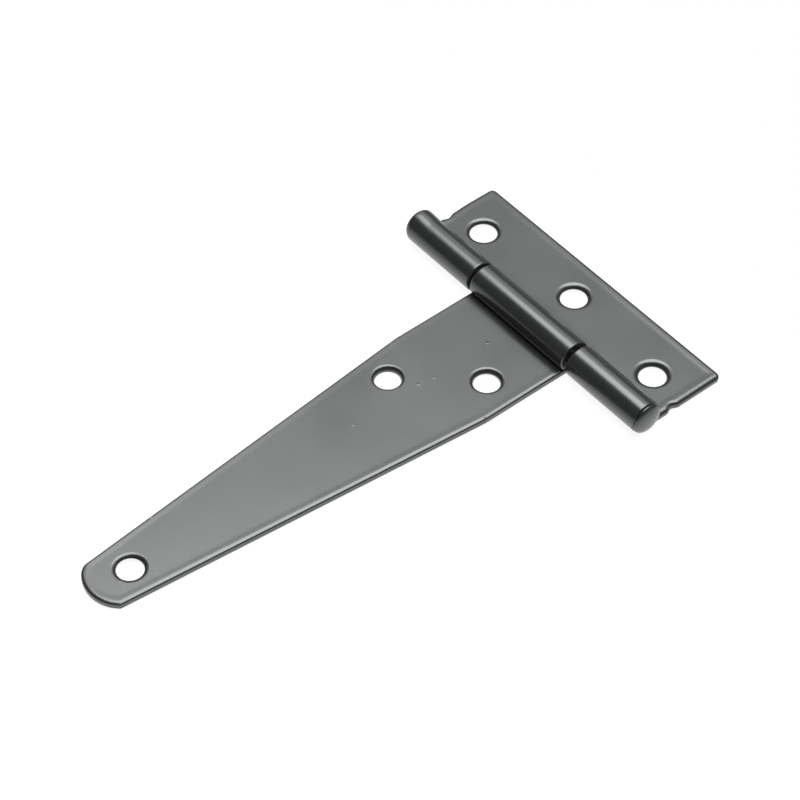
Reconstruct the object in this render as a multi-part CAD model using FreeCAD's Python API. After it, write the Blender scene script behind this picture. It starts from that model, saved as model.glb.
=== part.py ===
# Light tee hinge: a long tapered strap and a short rectangular butt leaf, each folded from one
# piece of sheet steel, turning on a plain pin with two peened heads. Millimetres, +Z up.
# The back of both leaves lies on z = 0. The origin is on that plane, straight under the middle
# of the pin: +X runs along the strap to its tip and +Y runs along the pin.
import FreeCAD, Part
import math
import os

# Sheet and pin
sheet = 1.5
pin_diameter = 3.4
pin_clearance = 0.07
seam_gap = 0.08

# Strap
strap_reach = 99.9
root_width = 26.2
root_reach = 21.2
tip_width = 11.3
tip_crown = 2.6
strap_corner_radius = 1.2

# Butt leaf
leaf_length = 64.4
leaf_reach = 19.05
leaf_corner_radius = 1.1
end_play = 1.4
strap_float = -0.2
cutout_clearance = 0.5
cutout_corner_radius = 0.8

# Forming notch in each short end of the butt leaf, beside the knuckle
notch_from_roll = 3.7
notch_width = 2.6
notch_depth = 0.45

# Screw holes, punched from the front
hole_diameter = 5.2
leaf_hole_spacing = 48.0
leaf_outer_hole_reach = 9.4
leaf_middle_hole_reach = 11.4
strap_near_hole_reach = 15.25
strap_far_hole_reach = 28.7
strap_hole_stagger = 6.1
strap_tip_hole_from_tip = 8.7

# Front edges, drawn down by the punch, and the outer edge where each roll ends
edge_roll = 0.6
hole_roll = 0.4
free_edge_round = 0.25

# Pin heads: the one at the near end, +Y, stands a little prouder
head_inset = 0.12
head_rim = 0.3
near_head_height = 1.3
far_head_height = 0.95

# Sizes that follow
pin_radius = pin_diameter / 2
eye_radius = pin_radius + pin_clearance
roll_radius = eye_radius + sheet
hole_radius = hole_diameter / 2
cutout_width = root_width + end_play
cutout_reach = roll_radius + cutout_clearance
notch_reach = roll_radius + notch_from_roll
strap_tip_hole_reach = strap_reach - strap_tip_hole_from_tip

# Lengths this close count as equal
NEAR = 1e-6
# The most of the sheet's thickness that the rounding of one edge may take
EDGE_SHARE = 0.45
# Where each roll leaves its flat, as an angle round the pin from +X towards +Z
BEND_LINE_ANGLE = -90

UP = FreeCAD.Vector(0, 0, 1)
ALONG_PIN = FreeCAD.Vector(0, 1, 0)
ALONG_STRAP = FreeCAD.Vector(1, 0, 0)


def point(x, y, z):
    return FreeCAD.Vector(x, y, z)


def is_close(a, b):
    return abs(a - b) < NEAR


def roll_point(radius, degrees):
    """A point of the rolled eye's section, by its angle round the pin from +X towards +Z."""
    angle = math.radians(degrees)
    return point(radius * math.cos(angle), 0, roll_radius + radius * math.sin(angle))


def free_edge(eye):
    """The long outer edge of a roll where it comes back down to the flat."""
    found = []
    for edge in eye.Edges:
        ends = [vertex.Point for vertex in edge.Vertexes]
        at_seam = all(is_close(end.z, sheet + seam_gap) for end in ends)
        if at_seam and not is_close(ends[0].y, ends[-1].y):
            found.append(edge)
    return found


def roll(y_low, y_high):
    """The sheet rolled under, behind and over the pin, from the bend line to its free edge."""
    free_angle = math.degrees(math.asin((sheet + seam_gap - roll_radius) / roll_radius))
    middle_angle = (BEND_LINE_ANGLE - 360 + free_angle) / 2
    outer_start = roll_point(roll_radius, BEND_LINE_ANGLE)
    outer_end = roll_point(roll_radius, free_angle)
    inner_start = roll_point(eye_radius, free_angle)
    inner_end = roll_point(eye_radius, BEND_LINE_ANGLE)
    section = Part.Wire([
        Part.Arc(outer_start, roll_point(roll_radius, middle_angle), outer_end).toShape(),
        Part.LineSegment(outer_end, inner_start).toShape(),
        Part.Arc(inner_start, roll_point(eye_radius, middle_angle), inner_end).toShape(),
        Part.LineSegment(inner_end, outer_start).toShape(),
    ])
    eye = Part.Face(section).extrude(ALONG_PIN * (y_high - y_low))
    eye.translate(ALONG_PIN * y_low)
    return eye.makeFillet(free_edge_round, free_edge(eye))


def straight_edges(corners):
    return [Part.LineSegment(a, b).toShape() for a, b in zip(corners, corners[1:])]


def corner_edges(flat, x):
    """The upright edges of a flat at one distance from the pin."""
    found = []
    for edge in flat.Edges:
        at_x = all(is_close(vertex.X, x) for vertex in edge.Vertexes)
        if at_x and is_close(edge.Length, sheet):
            found.append(edge)
    return found


def punch(flat, places):
    for x, y in places:
        flat = flat.cut(Part.makeCylinder(hole_radius, sheet, point(x, y, 0)))
    return flat


def draw_edges_down(flat):
    """Round the front of the outline and bevel the front of each hole, but not the bend line."""
    outline = []
    holes = []
    for edge in flat.Edges:
        ends = [vertex.Point for vertex in edge.Vertexes]
        on_front = all(is_close(end.z, sheet) for end in ends)
        on_bend_line = all(is_close(end.x, 0) for end in ends)
        if on_front and len(ends) == 1:
            holes.append(edge)
        elif on_front and not on_bend_line:
            outline.append(edge)
    flat = flat.makeFillet(min(edge_roll, EDGE_SHARE * sheet), outline)
    return flat.makeChamfer(min(hole_roll, EDGE_SHARE * sheet), holes)


def make_strap_leaf():
    """A parallel root with one roll across it, a straight taper and a shallow crowned tip."""
    root, tip = root_width / 2, tip_width / 2
    crown_start = strap_reach - tip_crown
    corners = [
        point(crown_start, tip, 0),
        point(root_reach, root, 0),
        point(0, root, 0),
        point(0, -root, 0),
        point(root_reach, -root, 0),
        point(crown_start, -tip, 0),
    ]
    crown = Part.Arc(corners[-1], point(strap_reach, 0, 0), corners[0]).toShape()
    flat = Part.Face(Part.Wire(straight_edges(corners) + [crown])).extrude(UP * sheet)
    flat = flat.makeFillet(strap_corner_radius, corner_edges(flat, crown_start))
    flat = punch(flat, [
        (strap_near_hole_reach, strap_hole_stagger),
        (strap_far_hole_reach, -strap_hole_stagger),
        (strap_tip_hole_reach, 0),
    ])
    strap = draw_edges_down(flat).fuse(roll(-root, root)).removeSplitter()
    strap.translate(ALONG_PIN * strap_float)
    return strap


def notch(side):
    """The scallop in one short end: a round cutter that bites notch_depth into the edge."""
    radius = (notch_width ** 2 / 4 + notch_depth ** 2) / (2 * notch_depth)
    centre_y = side * (leaf_length / 2 + radius - notch_depth)
    return Part.makeCylinder(radius, sheet, point(notch_reach, centre_y, 0))


def make_butt_leaf():
    """Two rolls with a cut-out between them, drawn along +X and mirrored across the pin to -X."""
    end, cutout = leaf_length / 2, cutout_width / 2
    corners = [
        point(0, cutout, 0),
        point(0, end, 0),
        point(leaf_reach, end, 0),
        point(leaf_reach, -end, 0),
        point(0, -end, 0),
        point(0, -cutout, 0),
        point(cutout_reach, -cutout, 0),
        point(cutout_reach, cutout, 0),
        point(0, cutout, 0),
    ]
    flat = Part.Face(Part.Wire(straight_edges(corners))).extrude(UP * sheet)
    flat = flat.makeFillet(leaf_corner_radius, corner_edges(flat, leaf_reach))
    flat = flat.makeFillet(cutout_corner_radius, corner_edges(flat, cutout_reach))
    for side in (-1, 1):
        flat = flat.cut(notch(side))
    flat = punch(flat, [
        (leaf_outer_hole_reach, -leaf_hole_spacing / 2),
        (leaf_middle_hole_reach, 0),
        (leaf_outer_hole_reach, leaf_hole_spacing / 2),
    ])
    knuckles = [roll(-end, -cutout), roll(cutout, end)]
    leaf = draw_edges_down(flat).fuse(knuckles).removeSplitter()
    return leaf.mirror(point(0, 0, 0), ALONG_STRAP)


def half_pin(end, head_height):
    """Half of the rod with its domed head, towards +Y or -Y, turned about the Y axis."""
    head_radius = roll_radius - head_inset
    seat = leaf_length / 2
    dome_height = head_height - head_rim
    dome_radius = (head_radius ** 2 + dome_height ** 2) / (2 * dome_height)
    half_angle = math.asin(head_radius / dome_radius) / 2
    shoulder_inset = dome_radius * (1 - math.cos(half_angle))
    middle = point(0, 0, 0)
    rod_middle = point(pin_radius, 0, 0)
    rod_end = point(pin_radius, end * seat, 0)
    seat_rim = point(head_radius, end * seat, 0)
    dome_rim = point(head_radius, end * (seat + head_rim), 0)
    shoulder = point(dome_radius * math.sin(half_angle), end * (seat + head_height - shoulder_inset), 0)
    top = point(0, end * (seat + head_height), 0)
    profile = Part.Wire([
        Part.LineSegment(middle, rod_middle).toShape(),
        Part.LineSegment(rod_middle, rod_end).toShape(),
        Part.LineSegment(rod_end, seat_rim).toShape(),
        Part.LineSegment(seat_rim, dome_rim).toShape(),
        Part.Arc(dome_rim, shoulder, top).toShape(),
        Part.LineSegment(top, middle).toShape(),
    ])
    return Part.Face(profile).revolve(middle, ALONG_PIN, 360)


def make_hinge_pin():
    """A plain rod whose domed heads sit against the outer ends of the butt leaf's knuckles."""
    pin = half_pin(1, near_head_height).fuse(half_pin(-1, far_head_height)).removeSplitter()
    pin.translate(UP * roll_radius)
    return pin


def main():
    os.makedirs("parts", exist_ok=True)
    pieces = {
        "strap_leaf": make_strap_leaf(),
        "butt_leaf": make_butt_leaf(),
        "hinge_pin": make_hinge_pin(),
    }
    for name, shape in pieces.items():
        solid = shape.Solids[0]
        solid.exportStep("parts/" + name + ".step")
        print(name, len(shape.Solids), "solid, valid", solid.isValid())
        print("  volume", round(solid.Volume, 2), solid.BoundBox)


main()
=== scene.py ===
"""A light tee hinge in semi-gloss black paint, lying open on a pale floor.

Each leaf is made as the real one is: a blank is cut from sheet, its holes are punched, the punch
draws the front edges down, and the root is then rolled round the pin. Sizes are in millimetres
until a finished mesh is brought to metres.
"""

import logging
import math
from dataclasses import dataclass, field
from enum import Enum
from typing import Optional, Sequence, Union

import bmesh
import bpy
from mathutils import Matrix, Vector

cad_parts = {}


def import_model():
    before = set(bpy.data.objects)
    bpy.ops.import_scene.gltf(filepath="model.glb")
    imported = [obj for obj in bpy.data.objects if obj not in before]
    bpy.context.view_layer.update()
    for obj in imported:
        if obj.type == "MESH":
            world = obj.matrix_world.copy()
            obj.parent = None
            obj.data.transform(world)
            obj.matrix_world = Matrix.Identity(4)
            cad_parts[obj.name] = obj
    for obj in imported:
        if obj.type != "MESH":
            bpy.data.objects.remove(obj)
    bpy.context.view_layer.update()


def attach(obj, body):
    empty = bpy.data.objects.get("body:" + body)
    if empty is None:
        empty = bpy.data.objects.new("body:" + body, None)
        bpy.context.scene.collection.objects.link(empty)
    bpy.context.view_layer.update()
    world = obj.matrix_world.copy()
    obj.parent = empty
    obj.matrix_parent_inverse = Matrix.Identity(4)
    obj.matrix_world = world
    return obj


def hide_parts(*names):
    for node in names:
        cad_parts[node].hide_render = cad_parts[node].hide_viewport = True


LOG = logging.getLogger("tee_hinge")

# One millimetre in metres
MM = 0.001
# Lengths in mm, and angles in radians, this close count as equal
NEAR = 1e-4
# A corner that is drawn in keeps at least this radius, in mm
SHARPEST_MM = 0.3

# The sRGB curve: a straight foot, then a power
SRGB_FOOT_END = 0.04045
SRGB_FOOT_SLOPE = 12.92
SRGB_OFFSET = 0.055
SRGB_POWER = 2.4

WHITE = (1.0, 1.0, 1.0, 1.0)


# Mesh helpers


def all_parts(mesh: bmesh.types.BMesh) -> list:
    """Gather the whole of a mesh, as bisect_plane wants it.

    Args:
        mesh: The mesh.

    Returns:
        Every vertex, edge and face.
    """
    return mesh.verts[:] + mesh.edges[:] + mesh.faces[:]


def fading(share: float) -> float:
    """Fade out smoothly.

    Args:
        share: How far along the fade, from 0 to 1; it stays level beyond either end.

    Returns:
        1 at its start, 0 at its end.
    """
    return (1 + math.cos(math.pi * min(max(share, 0.0), 1.0))) / 2


def quarter_round(radius: float, steps: int) -> list[tuple[float, float]]:
    """Section of a rounded back edge, from the back up to the wall.

    Args:
        radius: Its radius.
        steps: Number of lines in it.

    Returns:
        Points as (distance in from the wall, height over the back).
    """
    angles = [math.pi / 2 * i / steps for i in range(steps + 1)]
    return [(radius * (1 - math.sin(a)), radius * (1 - math.cos(a))) for a in angles]


@dataclass(frozen=True)
class Corner:
    """One corner of a blank's outline, in mm.

    Attributes:
        x: Distance from the pin.
        y: Place along the pin.
        radius: Radius that the corner is rounded to.
        share: How wide the edge that starts here is drawn down, against the blank's full width.
    """

    x: float
    y: float
    radius: float = 0.0
    share: float = 1.0


def drawn_in(corners: Sequence[Corner], width: float, even: float, steps: int = 8) -> list[Vector]:
    """Points of an outline after its edges have moved inwards.

    Args:
        corners: The outline's corners, anticlockwise seen from the front.
        width: How far an edge moves in, times its own share.
        even: How far all the edges move in besides.
        steps: Number of lines in each rounding.

    Returns:
        The points, as many and in the same order for any width.
    """
    points = []
    for last, corner, coming in zip(corners[-1:] + corners[:-1], corners, corners[1:] + corners[:1]):
        here = Vector((corner.x, corner.y))
        before = (here - Vector((last.x, last.y))).normalized()
        after = (Vector((coming.x, coming.y)) - here).normalized()
        turn = -before.angle_signed(after)
        left = before.orthogonal()
        in_before = width * last.share + even
        in_after = width * corner.share + even
        moved = here + left * in_before
        if abs(turn) > NEAR:
            moved += before * (in_before * math.cos(turn) - in_after) / math.sin(turn)
        if not corner.radius:
            points.append(moved)
            continue
        bend = math.copysign(1, turn)
        radius = max(corner.radius - bend * (width * corner.share + even), SHARPEST_MM)
        centre = moved - before * radius * math.tan(abs(turn) / 2) + left * radius * bend
        for i in range(steps + 1):
            points.append(centre + Matrix.Rotation(turn * i / steps, 2) @ (left * -radius * bend))
    return points


@dataclass(frozen=True)
class DrawnEdge:
    """How a punch leaves the front of an edge: a small lip, then a shallow slope up to a low crest.

    Attributes:
        lip: Width of the rounded lip next to the wall, were it to turn right up to level, in mm.
        depth: Depth of the lip, likewise.
        slope: Width of the shallow slope, in mm.
        crest: Height of the crest over the sheet, in mm.
        fade: Width over which the crest fades into the flat, in mm.
        steepest: Steepest angle of the shallow slope, in degrees.
        steps: Number of lines in each part of the section.
    """

    lip: float
    depth: float
    slope: float
    crest: float = 0.0
    fade: float = 0.0
    steepest: float = 25.0
    steps: int = 6

    def section(self) -> list[tuple[float, float, float]]:
        """Section from the wall to the flat.

        Returns:
            For each point: how far the punch moves it in, how far the crest does, and its height
            over the flat.
        """
        rise = math.tan(math.radians(self.steepest))
        turn = math.atan(self.depth / self.lip / rise)
        lips = [turn * i / self.steps for i in range(self.steps + 1)]
        slopes = [self.slope * i / self.steps for i in range(1, self.steps + 1)]
        at = [(self.lip * (1 - math.cos(a)), self.depth * math.sin(a)) for a in lips]
        across, along = at[-1]
        at += [(across + u, along + rise * (u - u * u / (2 * self.slope))) for u in slopes]
        lift = self.crest - at[-1][1]
        points = [(across, 0.0, along + lift) for across, along in at]
        if self.crest:
            for i in range(1, self.steps + 1):
                share = i / self.steps
                points.append((at[-1][0], self.fade * share, self.crest * fading(share)))
        return points


def to_object(mesh: bmesh.types.BMesh, name: str) -> bpy.types.Object:
    """Bring a mesh from mm to metres and link it as a smooth-shaded object.

    Args:
        mesh: The finished mesh, which is freed.
        name: Name of the object and its mesh.

    Returns:
        The object, at the origin and unturned.
    """
    bmesh.ops.scale(mesh, vec=(MM, MM, MM), verts=mesh.verts)
    for face in mesh.faces:
        face.smooth = True
    data = bpy.data.meshes.new(name)
    mesh.to_mesh(data)
    mesh.free()
    piece = bpy.data.objects.new(name, data)
    bpy.context.scene.collection.objects.link(piece)
    normals = piece.modifiers.new("even_normals", "WEIGHTED_NORMAL")
    normals.keep_sharp = True
    return piece


# Finish


def linear(hex_colour: str) -> tuple[float, float, float, float]:
    """Turn an sRGB colour linear.

    Args:
        hex_colour: The colour as "#rrggbb".

    Returns:
        Linear red, green, blue and an alpha of 1.
    """
    values = [int(hex_colour[i:i + 2], 16) / 255 for i in (1, 3, 5)]
    red, green, blue = (
        v / SRGB_FOOT_SLOPE if v <= SRGB_FOOT_END else ((v + SRGB_OFFSET) / (1 + SRGB_OFFSET)) ** SRGB_POWER
        for v in values
    )
    return (red, green, blue, 1.0)


def per_metre(period_mm: float) -> float:
    """Find the scale of a texture.

    Args:
        period_mm: About how far apart its features lie.

    Returns:
        The scale for coordinates in metres.
    """
    return 1 / (period_mm * MM)


def add_node(
    tree: bpy.types.NodeTree, kind: str, settings: Optional[dict] = None, inputs: Optional[dict] = None,
) -> bpy.types.Node:
    """Add one node with its settings and links.

    Args:
        tree: The node tree.
        kind: Blender's name of the node type.
        settings: Attributes of the node by name.
        inputs: Values, or outputs of other nodes, by input name or number.

    Returns:
        The new node.
    """
    made = tree.nodes.new(kind)
    for name, value in (settings or {}).items():
        setattr(made, name, value)
    for key, value in (inputs or {}).items():
        if isinstance(value, bpy.types.NodeSocket):
            tree.links.new(value, made.inputs[key])
        else:
            made.inputs[key].default_value = value
    return made


class MixKind(Enum):
    """What a Mix node mixes, with the numbers of its sockets A, B and result."""

    FLOAT = (2, 3, 0)
    RGBA = (6, 7, 2)


# What a node's input takes: the output of another node, or a plain value
Input = Union[bpy.types.NodeSocket, float, tuple[float, ...]]


def empty_tree(owner: bpy.types.ID) -> bpy.types.NodeTree:
    """Switch on the nodes of a material or a world, and clear them.

    Args:
        owner: The material or the world.

    Returns:
        Its empty node tree.
    """
    owner.use_nodes = True
    owner.node_tree.nodes.clear()
    return owner.node_tree


def add_mix(
    tree: bpy.types.NodeTree, kind: MixKind, factor: Input, a: Input, b: Input,
) -> bpy.types.NodeSocket:
    """Mix two values.

    Args:
        tree: The node tree.
        kind: What they are.
        factor: 0 for a, 1 for b.
        a: The first value.
        b: The second value.

    Returns:
        The mixed value.
    """
    first, second, result = kind.value
    made = add_node(tree, "ShaderNodeMix", {"data_type": kind.name}, {0: factor, first: a, second: b})
    return made.outputs[result]


def add_range(
    tree: bpy.types.NodeTree, value: Input, span: tuple[float, float], to: tuple[float, float],
    settings: Optional[dict] = None,
) -> bpy.types.NodeSocket:
    """Map a value from one range to another and hold it at the ends.

    Args:
        tree: The node tree.
        value: The value.
        span: Its range.
        to: What the ends of that range become.
        settings: Attributes of the node by name.

    Returns:
        The mapped value.
    """
    made = add_node(
        tree, "ShaderNodeMapRange", settings,
        {"Value": value, "From Min": span[0], "From Max": span[1], "To Min": to[0], "To Max": to[1]},
    )
    return made.outputs[0]


def add_noise(
    tree: bpy.types.NodeTree, place: Input, period_mm: float, detail: float,
) -> bpy.types.NodeSocket:
    """Add a noise texture.

    Args:
        tree: The node tree.
        place: The coordinates that it is laid in.
        period_mm: About how far apart its clouds lie.
        detail: Number of finer layers in it.

    Returns:
        Its value.
    """
    inputs = {"Vector": place, "Scale": per_metre(period_mm), "Detail": detail}
    return add_node(tree, "ShaderNodeTexNoise", inputs=inputs).outputs[0]


def add_bump(
    tree: bpy.types.NodeTree, rise: Input, height_mm: float, under: Optional[bpy.types.NodeSocket] = None,
) -> bpy.types.NodeSocket:
    """Raise a pattern on the surface.

    Args:
        tree: The node tree.
        rise: The pattern, from 0 to 1.
        height_mm: Height of the surface where it is 1.
        under: The normal to add it to, if there is one already.

    Returns:
        The new normal.
    """
    inputs = {"Height": rise, "Distance": height_mm * MM, "Strength": 1.0}
    if under is not None:
        inputs["Normal"] = under
    return add_node(tree, "ShaderNodeBump", inputs=inputs).outputs[0]


@dataclass(frozen=True)
class Nib:
    """A single grain under the paint: the place of its top and its height, in mm."""

    x: float
    y: float
    z: float
    height: float


@dataclass(frozen=True)
class SemiGlossPaint:
    """Stoved black enamel on pressed steel: a smooth semi-gloss skin with faint orange peel.

    It mirrors the room softly, so flats look mid-grey and only the deep places look black.

    Attributes:
        name: Name of the material.
        seed: How far its patterns are shifted, so that no two pieces share them.
        nibs: The grains that can be seen one by one.
        colour: The paint.
        colour_worn: The paint where it has been handled, in soft clouds.
        ior: Refractive index, which sets how strongly it mirrors.
        roughness: Roughness at both ends of cloud_span.
        cloud_span: Values of the clouds between which the roughness changes.
        cloud_period_mm: About how far apart the clouds lie.
        cloud_detail: Number of finer layers in the clouds.
        peel_period_mm: About how far apart the waves of the orange peel lie.
        peel_height_mm: Height of those waves.
        grain_period_mm: About how far apart the finest waves lie.
        grain_height_mm: Height of those.
        wave_detail: Number of finer layers in both kinds of wave.
        speck_spacing_mm: About how far apart the dust specks lie.
        speck_radius_mm: Radius of a speck.
        speck_height_mm: Height of a speck.
        nib_radius_mm: Radius of a nib at its foot.
    """

    name: str
    seed: float = 0.0
    nibs: tuple[Nib, ...] = ()
    colour: str = "#1c1e1c"
    colour_worn: str = "#212320"
    ior: float = 1.8
    roughness: tuple[float, float] = (0.21, 0.28)
    cloud_span: tuple[float, float] = (0.3, 0.7)
    cloud_period_mm: float = 18.0
    cloud_detail: float = 4.0
    peel_period_mm: float = 1.1
    peel_height_mm: float = 0.0035
    grain_period_mm: float = 0.28
    grain_height_mm: float = 0.0012
    wave_detail: float = 2.0
    speck_spacing_mm: float = 7.0
    speck_radius_mm: float = 0.16
    speck_height_mm: float = 0.05
    nib_radius_mm: float = 0.38

    def nib_rise(
        self, tree: bpy.types.NodeTree, place: bpy.types.NodeSocket, nib: Nib,
    ) -> bpy.types.NodeSocket:
        """Shape one nib as a smooth mound.

        Args:
            tree: The material's node tree.
            place: Object coordinates.
            nib: The nib.

        Returns:
            1 at its top, falling to 0 at its foot.
        """
        top = (nib.x * MM, nib.y * MM, nib.z * MM)
        apart = add_node(tree, "ShaderNodeVectorMath", {"operation": "DISTANCE"}, {0: place, 1: top})
        span = (0.0, self.nib_radius_mm * MM)
        return add_range(tree, apart.outputs["Value"], span, (1.0, 0.0), {"interpolation_type": "SMOOTHSTEP"})

    def material(self) -> bpy.types.Material:
        """Build the paint's node material.

        Returns:
            The material.
        """
        material = bpy.data.materials.new(self.name)
        tree = empty_tree(material)
        place = add_node(tree, "ShaderNodeTexCoord").outputs["Object"]
        shift = {"Vector": place, "Location": (self.seed, self.seed, 0)}
        shifted = add_node(tree, "ShaderNodeMapping", inputs=shift).outputs[0]
        cloud = add_noise(tree, shifted, self.cloud_period_mm, self.cloud_detail)
        cells = add_node(
            tree, "ShaderNodeTexVoronoi", {"feature": "F1"},
            {"Vector": shifted, "Scale": per_metre(self.speck_spacing_mm)},
        )
        speck_span = (0.0, self.speck_radius_mm / self.speck_spacing_mm)
        rises = [
            (add_noise(tree, shifted, self.peel_period_mm, self.wave_detail), self.peel_height_mm),
            (add_noise(tree, shifted, self.grain_period_mm, self.wave_detail), self.grain_height_mm),
            (add_range(tree, cells.outputs["Distance"], speck_span, (1.0, 0.0)), self.speck_height_mm),
        ]
        rises += [(self.nib_rise(tree, place, nib), nib.height) for nib in self.nibs]
        normal = None
        for rise, height in rises:
            normal = add_bump(tree, rise, height, normal)
        shader = add_node(
            tree, "ShaderNodeBsdfPrincipled",
            inputs={
                "Base Color": add_mix(
                    tree, MixKind.RGBA, cloud, linear(self.colour), linear(self.colour_worn),
                ),
                "Roughness": add_range(tree, cloud, self.cloud_span, self.roughness),
                "IOR": self.ior,
                "Normal": normal,
            },
        )
        add_node(tree, "ShaderNodeOutputMaterial", inputs={"Surface": shader.outputs[0]})
        return material


# Stock and pieces


@dataclass(frozen=True)
class Stock:
    """The sheet and the pin that both leaves are made to fit, in mm.

    Attributes:
        sheet: Thickness of the sheet.
        pin_radius: Radius of the pin.
        roll_radius: Outer radius of the rolls.
        seam_gap: Gap between a roll's free edge and the front of its own flat.
    """

    sheet: float = 1.5
    pin_radius: float = 1.7
    roll_radius: float = 3.27
    seam_gap: float = 0.08

    @property
    def roll_sweep(self) -> float:
        """Angle from the bend line round the pin to the free edge, in radians."""
        free_edge = (self.sheet + self.seam_gap - self.roll_radius) / self.roll_radius
        return 1.5 * math.pi - math.asin(free_edge)

    @property
    def roll_length(self) -> float:
        """Length of blank that the roll takes up, measured on its outside."""
        return self.roll_radius * self.roll_sweep


class Side(Enum):
    """Which way a leaf runs from the pin along X."""

    STRAP = 1
    BUTT = -1


@dataclass(frozen=True)
class Hole:
    """One punched screw hole, in mm.

    Attributes:
        x: Distance from the pin.
        y: Place along the pin.
        radius: Radius of its narrowest part.
        lip: Width of the lip that the punch rolls into it, as in DrawnEdge.
        depth: Depth of that lip.
        slope: Width of the shallow slope round the lip.
        flare: How much wider it breaks out at the back.
    """

    x: float
    y: float
    radius: float = 2.6
    lip: float = 1.4
    depth: float = 0.75
    slope: float = 0.6
    flare: float = 0.75


@dataclass
class Leaf:
    """A leaf of the hinge, cut from sheet, punched and rolled at its root, in mm.

    Attributes:
        name: Name of the object.
        node: Node that it replaces.
        body: Body that it rides on.
        slot: Slot of its finish; not used.
        side: Which way it runs from the pin.
        stock: The sheet and the pin that it is made to fit.
        holes: Its screw holes.
        edge: How the punch leaves its front edges.
        hole_back_round: Rounding of a hole's edge at the back.
        back_round: Rounding of the outline's edge at the back.
        support: Width of the band of faces that keeps each flat level up to its edge.
        round_steps: Number of lines in a rounding at the back.
        hole_steps: Number of lines round a hole.
        roll_steps: Number of lines round the roll.
        shift_y: How far the leaf has slid along the pin.
    """

    name: str
    node: str
    body: str
    slot: str
    side: Side
    stock: Stock
    holes: list[Hole]
    edge: DrawnEdge
    hole_back_round: float = 0.15
    back_round: float = 0.4
    support: float = 0.04
    round_steps: int = 6
    hole_steps: int = 96
    roll_steps: int = 90
    shift_y: float = 0.0

    def ring(self, width: float, even: float) -> list[Vector]:
        """The blank's outline with its edges drawn in.

        Args:
            width: How far an edge moves in, times its own share.
            even: How far all the edges move in besides.

        Returns:
            Its points, as drawn_in gives them.
        """
        raise NotImplementedError

    def punched_wall(self, mesh: bmesh.types.BMesh, hole: Hole) -> None:
        """Spin the section of one hole's wall round its axis.

        Args:
            mesh: The blank.
            hole: The hole.
        """
        sheet = self.stock.sheet
        back_radius = hole.radius + hole.flare
        lip = self.hole_back_round
        at = [(back_radius + lip + self.support, 0.0)]
        at += [(back_radius + out, height) for out, height in quarter_round(lip, self.round_steps)]
        front = DrawnEdge(hole.lip, hole.depth, hole.slope).section()
        at += [(hole.radius + across + further, sheet + height) for across, further, height in front]
        at.append((at[-1][0] + self.support, sheet))
        verts = [mesh.verts.new((hole.x + r, hole.y, z)) for r, z in at]
        edges = [mesh.edges.new(pair) for pair in zip(verts, verts[1:])]
        bmesh.ops.spin(
            mesh, geom=verts + edges, cent=(hole.x, hole.y, 0), axis=(0, 0, 1), dvec=(0, 0, 0),
            angle=2 * math.pi, steps=self.hole_steps, use_merge=True,
        )

    def plate(self) -> bmesh.types.BMesh:
        """The flat blank at its full thickness, with its edges drawn down and its holes punched.

        Returns:
            A closed mesh.
        """
        sheet = self.stock.sheet
        rings = [(0.0, self.back_round + self.support, 0.0)]
        rings += [(0.0, even, height) for even, height in quarter_round(self.back_round, self.round_steps)]
        rings += [(width, even, sheet + height) for width, even, height in self.edge.section()]
        rings.append((rings[-1][0], rings[-1][1] + self.support, sheet))
        mesh = bmesh.new()
        below = None
        for width, even, height in rings:
            above = [mesh.verts.new((at.x, at.y, height)) for at in self.ring(width, even)]
            if below:
                for i in range(len(above)):
                    mesh.faces.new((below[i - 1], below[i], above[i], above[i - 1]))
            else:
                for pair in zip(above, above[1:] + above[:1]):
                    mesh.edges.new(pair)
            below = above
        for hole in self.holes:
            self.punched_wall(mesh, hole)
        for height, facing in ((sheet, 1), (0.0, -1)):
            rim = [
                edge for edge in mesh.edges
                if edge.is_boundary and all(abs(v.co.z - height) < NEAR for v in edge.verts)
            ]
            bmesh.ops.triangle_fill(mesh, edges=rim, use_beauty=True, normal=(0, 0, facing))
        return mesh

    def roll_root(self, mesh: bmesh.types.BMesh) -> None:
        """Roll the blank's root under, behind and over the pin.

        Args:
            mesh: The flat blank; what lies at negative X is rolled.
        """
        stock = self.stock
        for i in range(self.roll_steps):
            bmesh.ops.bisect_plane(
                mesh, geom=all_parts(mesh), dist=NEAR, plane_no=(1, 0, 0),
                plane_co=(-stock.roll_length * i / self.roll_steps, 0, 0),
            )
        for vertex in mesh.verts:
            x, y, z = vertex.co
            if x < 0:
                angle = -math.pi / 2 + x / stock.roll_length * stock.roll_sweep
                radius = stock.roll_radius - z
                vertex.co = (radius * math.cos(angle), y, stock.roll_radius + radius * math.sin(angle))

    def build(self) -> bpy.types.Object:
        """Make the whole leaf in its place.

        Returns:
            The leaf as an object.
        """
        mesh = self.plate()
        self.roll_root(mesh)
        bmesh.ops.scale(mesh, vec=(self.side.value, 1, 1), verts=mesh.verts)
        bmesh.ops.translate(mesh, vec=(0, self.shift_y, 0), verts=mesh.verts)
        bmesh.ops.remove_doubles(mesh, verts=mesh.verts, dist=NEAR)
        bmesh.ops.recalc_face_normals(mesh, faces=mesh.faces)
        piece = to_object(mesh, self.name)
        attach(piece, self.body)
        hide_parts(self.node)
        return piece


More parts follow.
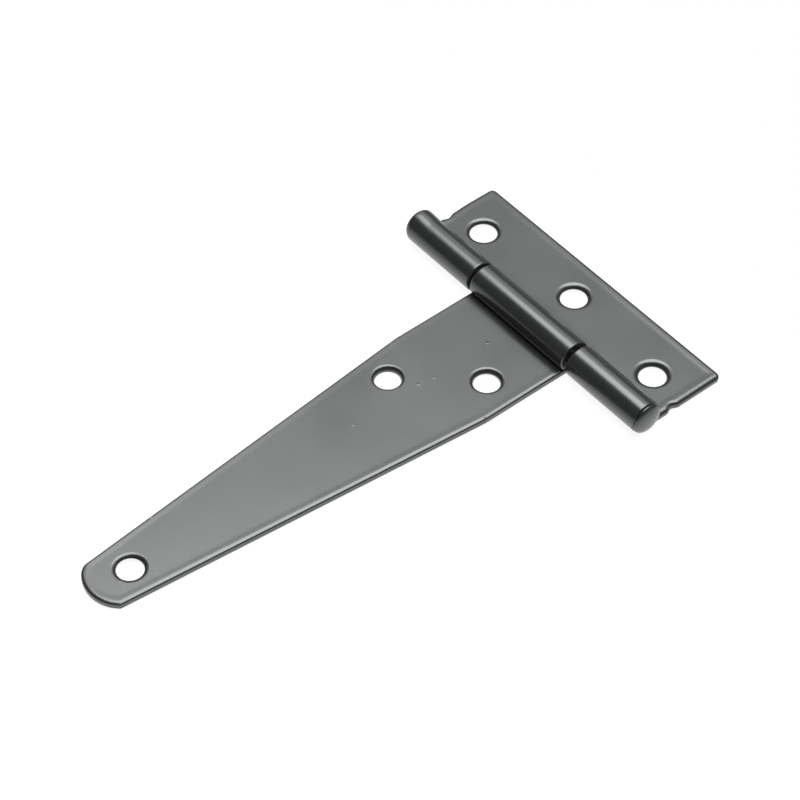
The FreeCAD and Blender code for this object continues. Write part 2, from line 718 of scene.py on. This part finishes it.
@dataclass
class StrapLeaf(Leaf):
    """The long strap: parallel root, straight taper, crowned tip.

    Attributes:
        reach: Distance from the pin to the tip.
        root_width: Width of the root.
        root_reach: Distance from the pin to the start of the taper.
        tip_width: Width at the end of the taper.
        crown: Height of the tip's arc.
        crown_steps: Number of lines in that arc, were it whole.
        crown_skip: Number of them left out at either end, where the corners are rounded.
        kink_radius: Rounding between root and taper.
        tip_corner: Rounding of the tip's near corner.
        tip_far_corner: Rounding of the tip's far corner.
        far_share: How wide the far edge is drawn down, against the near one.
        far_trim: How far in the far edge of the taper lies.
    """

    reach: float = 99.9
    root_width: float = 26.2
    root_reach: float = 21.2
    tip_width: float = 11.3
    crown: float = 2.6
    crown_steps: int = 24
    crown_skip: int = 3
    kink_radius: float = 12.0
    tip_corner: float = 0.7
    tip_far_corner: float = 2.2
    far_share: float = 0.6
    far_trim: float = 0.17

    def ring(self, width: float, even: float) -> list[Vector]:
        """The tapered outline with its crowned tip, as Leaf.ring describes it."""
        root, tip, free = self.root_width / 2, self.tip_width / 2, -self.stock.roll_length
        shoulder = self.reach - self.crown
        crown_radius = (tip ** 2 + self.crown ** 2) / (2 * self.crown)
        half_angle = math.asin(tip / crown_radius)
        middle = self.reach - crown_radius
        kept = range(self.crown_skip, self.crown_steps - self.crown_skip + 1)
        arc = [half_angle * (2 * i / self.crown_steps - 1) for i in kept]
        far = self.far_share
        corners = [Corner(free, -root, 0.0, far)]
        corners.append(Corner(self.root_reach, self.far_trim - root, self.kink_radius, far))
        corners.append(Corner(shoulder, self.far_trim - tip, self.tip_far_corner))
        corners += [Corner(middle + crown_radius * math.cos(a), crown_radius * math.sin(a)) for a in arc]
        corners.append(Corner(shoulder, tip, self.tip_corner))
        corners += [Corner(self.root_reach, root, self.kink_radius), Corner(free, root)]
        return drawn_in(corners, width, even)


@dataclass
class ButtLeaf(Leaf):
    """The short rectangular leaf, cut out between its two knuckles.

    Attributes:
        length: Length along the pin.
        reach: Distance from the pin to the outer edge.
        corner: Rounding of the outer corners.
        cutout_width: Width of the cut-out for the strap's knuckle.
        cutout_reach: Distance from the pin to the bottom of the cut-out.
        cutout_corner: Rounding of the cut-out's corners.
        notch_reach: Distance from the pin to the middle of the forming notches.
        notch_half_width: Half the width of a notch.
        notch_depth: Depth of a notch.
        notch_fade: How far in from the edge a notch has faded into the flat.
        notch_steps: Number of lines along a notch.
        far_share: How wide the far end is drawn down, against the near one.
        far_dip: How far in the far end lies next to its knuckle.
        far_dip_reach: Distances from the pin between which that runs out.
        far_dip_steps: Number of lines in which it does.
        far_dip_first: Number of the first of them that is past the notch.
    """

    length: float = 64.4
    reach: float = 19.05
    corner: float = 1.1
    cutout_width: float = 27.6
    cutout_reach: float = 3.77
    cutout_corner: float = 0.8
    notch_reach: float = 6.97
    notch_half_width: float = 1.6
    notch_depth: float = 0.5
    notch_fade: float = 3.0
    notch_steps: int = 48
    far_share: float = 0.8
    far_dip: float = 0.25
    far_dip_reach: tuple[float, float] = (7.5, 13.0)
    far_dip_steps: int = 10
    far_dip_first: int = 3

    def ring(self, width: float, even: float) -> list[Vector]:
        """The cut-out outline with a forming notch in each short end, as Leaf.ring describes it."""
        end, cutout, root = self.length / 2, self.cutout_width / 2, -self.stock.roll_length
        start = self.notch_reach - self.notch_half_width
        step = 2 * self.notch_half_width / self.notch_steps
        spots = [start + step * i for i in range(self.notch_steps + 1)]
        dip_start, dip_end = self.far_dip_reach
        steps = self.far_dip_steps
        spots += [dip_start + (dip_end - dip_start) * i / steps for i in range(self.far_dip_first, steps + 1)]
        far = self.far_share
        corners = [Corner(root, -end, 0.0, far)]
        corners += [Corner(x, -end, 0.0, far) for x in spots]
        corners += [Corner(self.reach, -end, self.corner, far), Corner(self.reach, end, self.corner)]
        corners += [Corner(x, end) for x in reversed(spots)]
        corners += [Corner(root, end), Corner(root, cutout)]
        corners.append(Corner(self.cutout_reach, cutout, self.cutout_corner))
        corners.append(Corner(self.cutout_reach, -cutout, self.cutout_corner))
        corners.append(Corner(root, -cutout))
        points = drawn_in(corners, width, even)
        depth = self.notch_depth * max(0.0, 1 - (width + even) / self.notch_fade)
        for point in points:
            if abs(point.y) < cutout + self.notch_fade:
                continue
            if point.y < 0:
                point.y += self.far_dip * fading((point.x - dip_start) / (dip_end - dip_start))
            along = (point.x - self.notch_reach) / self.notch_half_width
            if abs(along) < 1:
                point.y -= math.copysign(depth * math.cos(math.pi / 2 * along) ** 2, point.y)
        return points


@dataclass(frozen=True)
class PinHead:
    """One peened end of the pin, in mm.

    Attributes:
        end: 1 for the near end, -1 for the far end.
        height: How far the dome stands out past the knuckle.
        inset: How much smaller than the knuckle it is, in radius.
        overlap: How far its rim fills the rounded end of the knuckle.
        fullness: Power of the superellipse that the dome follows; 2 is a plain ellipse.
        sleeve: Length over which its metal is smeared along the knuckle.
    """

    end: int
    height: float
    inset: float
    overlap: float
    fullness: float
    sleeve: float = 0.0


@dataclass
class HingePin:
    """The plain pin, peened to a low dome at each end.

    Attributes:
        stock: The sheet and the pin.
        near: The head at the near end.
        far: The head at the far end, smeared over its knuckle.
        far_off_centre: How far that head lies off the pin's axis, along X and Z.
        seat: Distance from the middle to the outer end of each end knuckle.
        head_crush: How much smaller than its rim a head is where it starts, in radius.
        sleeve_steps: Number of lines along a sleeve.
        arc_steps: Number of lines up a dome.
        spin_steps: Number of lines round the pin.
    """

    stock: Stock
    near: PinHead = PinHead(1, height=1.18, inset=0.12, overlap=-0.12, fullness=2.15)
    far: PinHead = PinHead(-1, height=0.95, inset=0.01, overlap=0.5, fullness=2.3, sleeve=4.5)
    far_off_centre: tuple[float, float] = (-0.12, 0.15)
    seat: float = 32.2
    head_crush: float = 0.15
    sleeve_steps: int = 12
    arc_steps: int = 32
    spin_steps: int = 120

    def section(self, head: PinHead) -> list[tuple[float, float]]:
        """Section of one head, from its seat to the middle of the dome.

        Args:
            head: The head.

        Returns:
            Points as (distance from the pin's axis, place along the pin).
        """
        radius = self.stock.roll_radius - head.inset
        start = self.seat - head.overlap
        rise = head.height + head.overlap
        power = 2 / head.fullness
        angles = [math.pi / 2 * i / self.arc_steps for i in range(1, self.arc_steps + 1)]
        dome = [
            (radius * math.cos(a) ** power, head.end * (start + rise * math.sin(a) ** power)) for a in angles
        ]
        rim = []
        if head.sleeve:
            along = [head.sleeve * (1 - i / self.sleeve_steps) for i in range(self.sleeve_steps)]
            rim = [(radius, head.end * (start - back)) for back in along]
        return [(radius - self.head_crush, head.end * (start - head.sleeve))] + rim + dome

    def build(self) -> bpy.types.Object:
        """Make the pin in its place.

        Returns:
            The pin as an object.
        """
        stock = self.stock
        rod = [(stock.pin_radius, -self.seat), (stock.pin_radius, self.seat)]
        profile = self.section(self.far)[::-1] + rod + self.section(self.near)
        mesh = bmesh.new()
        verts = [mesh.verts.new((r, y, stock.roll_radius)) for r, y in profile]
        edges = [mesh.edges.new(pair) for pair in zip(verts, verts[1:])]
        bmesh.ops.spin(
            mesh, geom=verts + edges, cent=(0, 0, stock.roll_radius), axis=(0, 1, 0),
            dvec=(0, 0, 0), angle=2 * math.pi, steps=self.spin_steps, use_merge=True,
        )
        bmesh.ops.remove_doubles(mesh, verts=mesh.verts, dist=NEAR)
        bmesh.ops.recalc_face_normals(mesh, faces=mesh.faces)
        off_x, off_z = self.far_off_centre
        for vertex in mesh.verts:
            short_of_rim = (self.seat - self.far.overlap + vertex.co.y) / self.far.sleeve
            vertex.co += Vector((off_x, 0, off_z)) * fading(short_of_rim)
        piece = to_object(mesh, "peened_pin")
        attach(piece, "butt")
        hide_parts("hinge_pin")
        return piece


# Studio


@dataclass(frozen=True)
class Softbox:
    """A soft lamp hung level over the hinge, sizes in metres.

    Attributes:
        name: Name of the lamp.
        centre: Its middle, from the camera's target.
        width: Its size along X.
        depth: Its size along Y.
        radiance: How bright its face is.
        colour: Colour of its light.
        is_round: Whether it is an ellipse and not a rectangle.
    """

    name: str
    centre: tuple[float, float, float]
    width: float
    depth: float
    radiance: float
    colour: str = "#fbfffe"
    is_round: bool = False

    def build(self, target: Vector) -> None:
        """Hang the lamp.

        Args:
            target: The camera's target, in metres.
        """
        lamp = bpy.data.lights.new(self.name, "AREA")
        lamp.shape = "ELLIPSE" if self.is_round else "RECTANGLE"
        lamp.size = self.width
        lamp.size_y = self.depth
        area = self.width * self.depth * (math.pi / 4 if self.is_round else 1)
        lamp.energy = self.radiance * math.pi * area
        lamp.color = linear(self.colour)[:3]
        holder = bpy.data.objects.new(self.name, lamp)
        holder.location = target + Vector(self.centre)
        bpy.context.scene.collection.objects.link(holder)


def direction(azimuth: float, elevation: float) -> Vector:
    """Find the direction towards a viewer.

    Args:
        azimuth: Where the viewer stands, in degrees round the hinge from -Y.
        elevation: How high the viewer stands, in degrees.

    Returns:
        The unit vector.
    """
    a, e = math.radians(azimuth), math.radians(elevation)
    return Vector((math.sin(a) * math.cos(e), -math.cos(a) * math.cos(e), math.sin(e)))


@dataclass
class Studio:
    """Pale floor, soft lamps and the camera at the photograph's angle.

    Attributes:
        azimuth: Where the camera stands, in degrees round the hinge.
        elevation: How high it stands, in degrees.
        distance_mm: Its distance from the target.
        target_mm: The point that it looks at.
        lens_mm: Its focal length.
        sensor_mm: Width of its sensor.
        clip: Nearest and farthest distance that it sees, in metres.
        floor_size: Side of the square floor, in metres.
        floor_x: Middle of the floor along X, in metres.
        floor_colour: The floor as it lights the hinge.
        floor_glow: How strongly it glows straight up, as the hinge mirrors it.
        exposed: How strongly it glows in the picture.
        shadow_colour: The floor in the picture, which carries the hinge's shadow.
        fill: Even light from all round.
        mirrored: The surround as the hinge mirrors it, at both ends of mirrored_span.
        mirrored_span: X of the directions between which it changes.
        lamps: The lamps.
    """

    azimuth: float = 140.626
    elevation: float = 48.065
    distance_mm: float = 504.0
    target_mm: tuple[float, float, float] = (29.678, -1.576, 0.0)
    lens_mm: float = 123.94
    sensor_mm: float = 36.0
    clip: tuple[float, float] = (0.01, 50.0)
    floor_size: float = 0.7
    floor_x: float = 0.315
    floor_colour: str = "#a2a4a6"
    floor_glow: float = 1.1
    exposed: float = 0.91
    shadow_colour: str = "#6b6c6d"
    fill: float = 0.35
    mirrored: tuple[float, float] = (0.2, 0.08)
    mirrored_span: tuple[float, float] = (-0.5, 0.3)
    lamps: list[Softbox] = field(default_factory=lambda: [
        Softbox("beauty_dish", (-0.245, -0.15, 1.0), 0.94, 1.04, 6.2, is_round=True),
        Softbox("ceiling_scrim", (-0.14, -0.5, 1.0), 0.6, 1.9, 1.33),
        Softbox("scrim_border", (-0.675, -0.5, 1.0), 0.35, 1.9, 0.9),
        Softbox("tent_side", (-1.15, -0.5, 1.0), 0.6, 1.9, 1.25),
    ])

    def floor(self) -> None:
        """Lay the pale floor, lit from below: it glows most straight up and shows white."""
        mesh = bmesh.new()
        bmesh.ops.create_grid(mesh, x_segments=1, y_segments=1, size=self.floor_size / 2)
        data = bpy.data.meshes.new("floor")
        mesh.to_mesh(data)
        mesh.free()
        floor = bpy.data.objects.new("floor", data)
        floor.location.x = self.floor_x
        bpy.context.scene.collection.objects.link(floor)
        material = bpy.data.materials.new("lit_white_acrylic")
        tree = empty_tree(material)
        seen = add_node(tree, "ShaderNodeLightPath").outputs["Is Camera Ray"]
        colour = add_mix(tree, MixKind.RGBA, seen, linear(self.floor_colour), linear(self.shadow_colour))
        card = add_node(tree, "ShaderNodeBsdfDiffuse", inputs={"Color": colour})
        slant = add_node(tree, "ShaderNodeLayerWeight").outputs["Facing"]
        ahead = add_range(tree, slant, (0.0, 1.0), (self.floor_glow, 0.0))
        strength = add_mix(tree, MixKind.FLOAT, seen, ahead, self.exposed)
        glow = add_node(tree, "ShaderNodeEmission", inputs={"Color": WHITE, "Strength": strength})
        shown = add_node(tree, "ShaderNodeAddShader", inputs={0: card.outputs[0], 1: glow.outputs[0]})
        add_node(tree, "ShaderNodeOutputMaterial", inputs={"Surface": shown.outputs[0]})
        data.materials.append(material)

    def world(self) -> None:
        """Put up the surround: white in the picture, a little even fill, and dim where mirrored."""
        world = bpy.data.worlds.new("white_surround")
        bpy.context.scene.world = world
        tree = empty_tree(world)
        path = add_node(tree, "ShaderNodeLightPath")
        place = add_node(tree, "ShaderNodeTexCoord").outputs["Generated"]
        axes = add_node(tree, "ShaderNodeSeparateXYZ", inputs={0: place})
        mirrored = add_range(tree, axes.outputs["X"], self.mirrored_span, self.mirrored)
        unseen = add_mix(tree, MixKind.FLOAT, path.outputs["Is Glossy Ray"], self.fill, mirrored)
        strength = add_mix(tree, MixKind.FLOAT, path.outputs["Is Camera Ray"], unseen, 1.0)
        sky = add_node(tree, "ShaderNodeBackground", inputs={"Color": WHITE, "Strength": strength})
        add_node(tree, "ShaderNodeOutputWorld", inputs={"Surface": sky.outputs[0]})

    def camera(self) -> None:
        """Set the camera where the photograph was taken from."""
        data = bpy.data.cameras.new("camera")
        data.lens = self.lens_mm
        data.sensor_width = self.sensor_mm
        data.clip_start, data.clip_end = self.clip
        camera = bpy.data.objects.new("camera", data)
        away = direction(self.azimuth, self.elevation)
        camera.location = (Vector(self.target_mm) + away * self.distance_mm) * MM
        camera.rotation_euler = away.to_track_quat("Z", "Y").to_euler()
        bpy.context.scene.collection.objects.link(camera)
        bpy.context.scene.camera = camera

    def build(self) -> None:
        """Set up floor, surround, lamps and camera."""
        self.floor()
        self.world()
        for lamp in self.lamps:
            lamp.build(Vector(self.target_mm) * MM)
        self.camera()
        bpy.context.scene.view_settings.view_transform = "Standard"


def main() -> None:
    """Build the hinge and its studio."""
    logging.basicConfig(level=logging.INFO, format="%(name)s: %(message)s")
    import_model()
    stock = Stock()
    strap = StrapLeaf(
        name="strap", node="strap_leaf", body="strap", slot="strap_paint", side=Side.STRAP,
        stock=stock, shift_y=-0.2,
        edge=DrawnEdge(lip=0.33, depth=0.35, slope=0.55, crest=0.019, fade=1.2),
        holes=[
            Hole(15.2, 6.05, radius=2.5, lip=0.85, depth=0.97, slope=0.4, flare=0.5),
            Hole(28.75, -6.05, radius=2.46, lip=0.65, depth=1.1, slope=0.38, flare=0.35),
            Hole(91.3, 0.15, radius=2.5, lip=1.6, depth=0.75, slope=0.4, flare=0.85),
        ],
    )
    butt = ButtLeaf(
        name="butt_plate", node="butt_leaf", body="butt", slot="leaf_paint", side=Side.BUTT,
        stock=stock, edge=DrawnEdge(lip=0.65, depth=0.65, slope=0.65, crest=0.05, fade=1.3),
        holes=[
            Hole(9.72, -24.17, radius=2.66, lip=0.9, depth=0.74), Hole(11.53, -0.05, depth=0.85),
            Hole(9.47, 23.95, lip=1.3, depth=0.95),
        ],
    )
    pin = HingePin(stock)
    paints = {
        "strap": SemiGlossPaint(
            "stoved_black_enamel_strap", seed=0.0,
            nibs=(
                Nib(8.93, -1.3, 1.5, 0.1), Nib(22.18, -0.87, 1.5, 0.045), Nib(25.48, -1.4, 1.5, 0.055),
                Nib(40.93, -1.27, 1.5, 0.03), Nib(81.9, -6.95, 1.5, 0.06), Nib(94.1, 1.3, 1.3, 0.06),
                Nib(21.5, 12.6, 1.4, 0.06),
            ),
        ),
        "butt_plate": SemiGlossPaint(
            "stoved_black_enamel_leaf", seed=0.31,
            nibs=(Nib(-1.69, 18.01, 6.07, 0.2), Nib(-1.73, 19.48, 6.05, 0.2)),
        ),
        "peened_pin": SemiGlossPaint("stoved_black_enamel_pin", seed=0.57),
    }
    for part in (strap, butt, pin):
        piece = part.build()
        piece.data.materials.append(paints[piece.name].material())
        LOG.info("%s: %d faces", piece.name, len(piece.data.polygons))
    Studio().build()


if __name__ == "__main__":
    main()
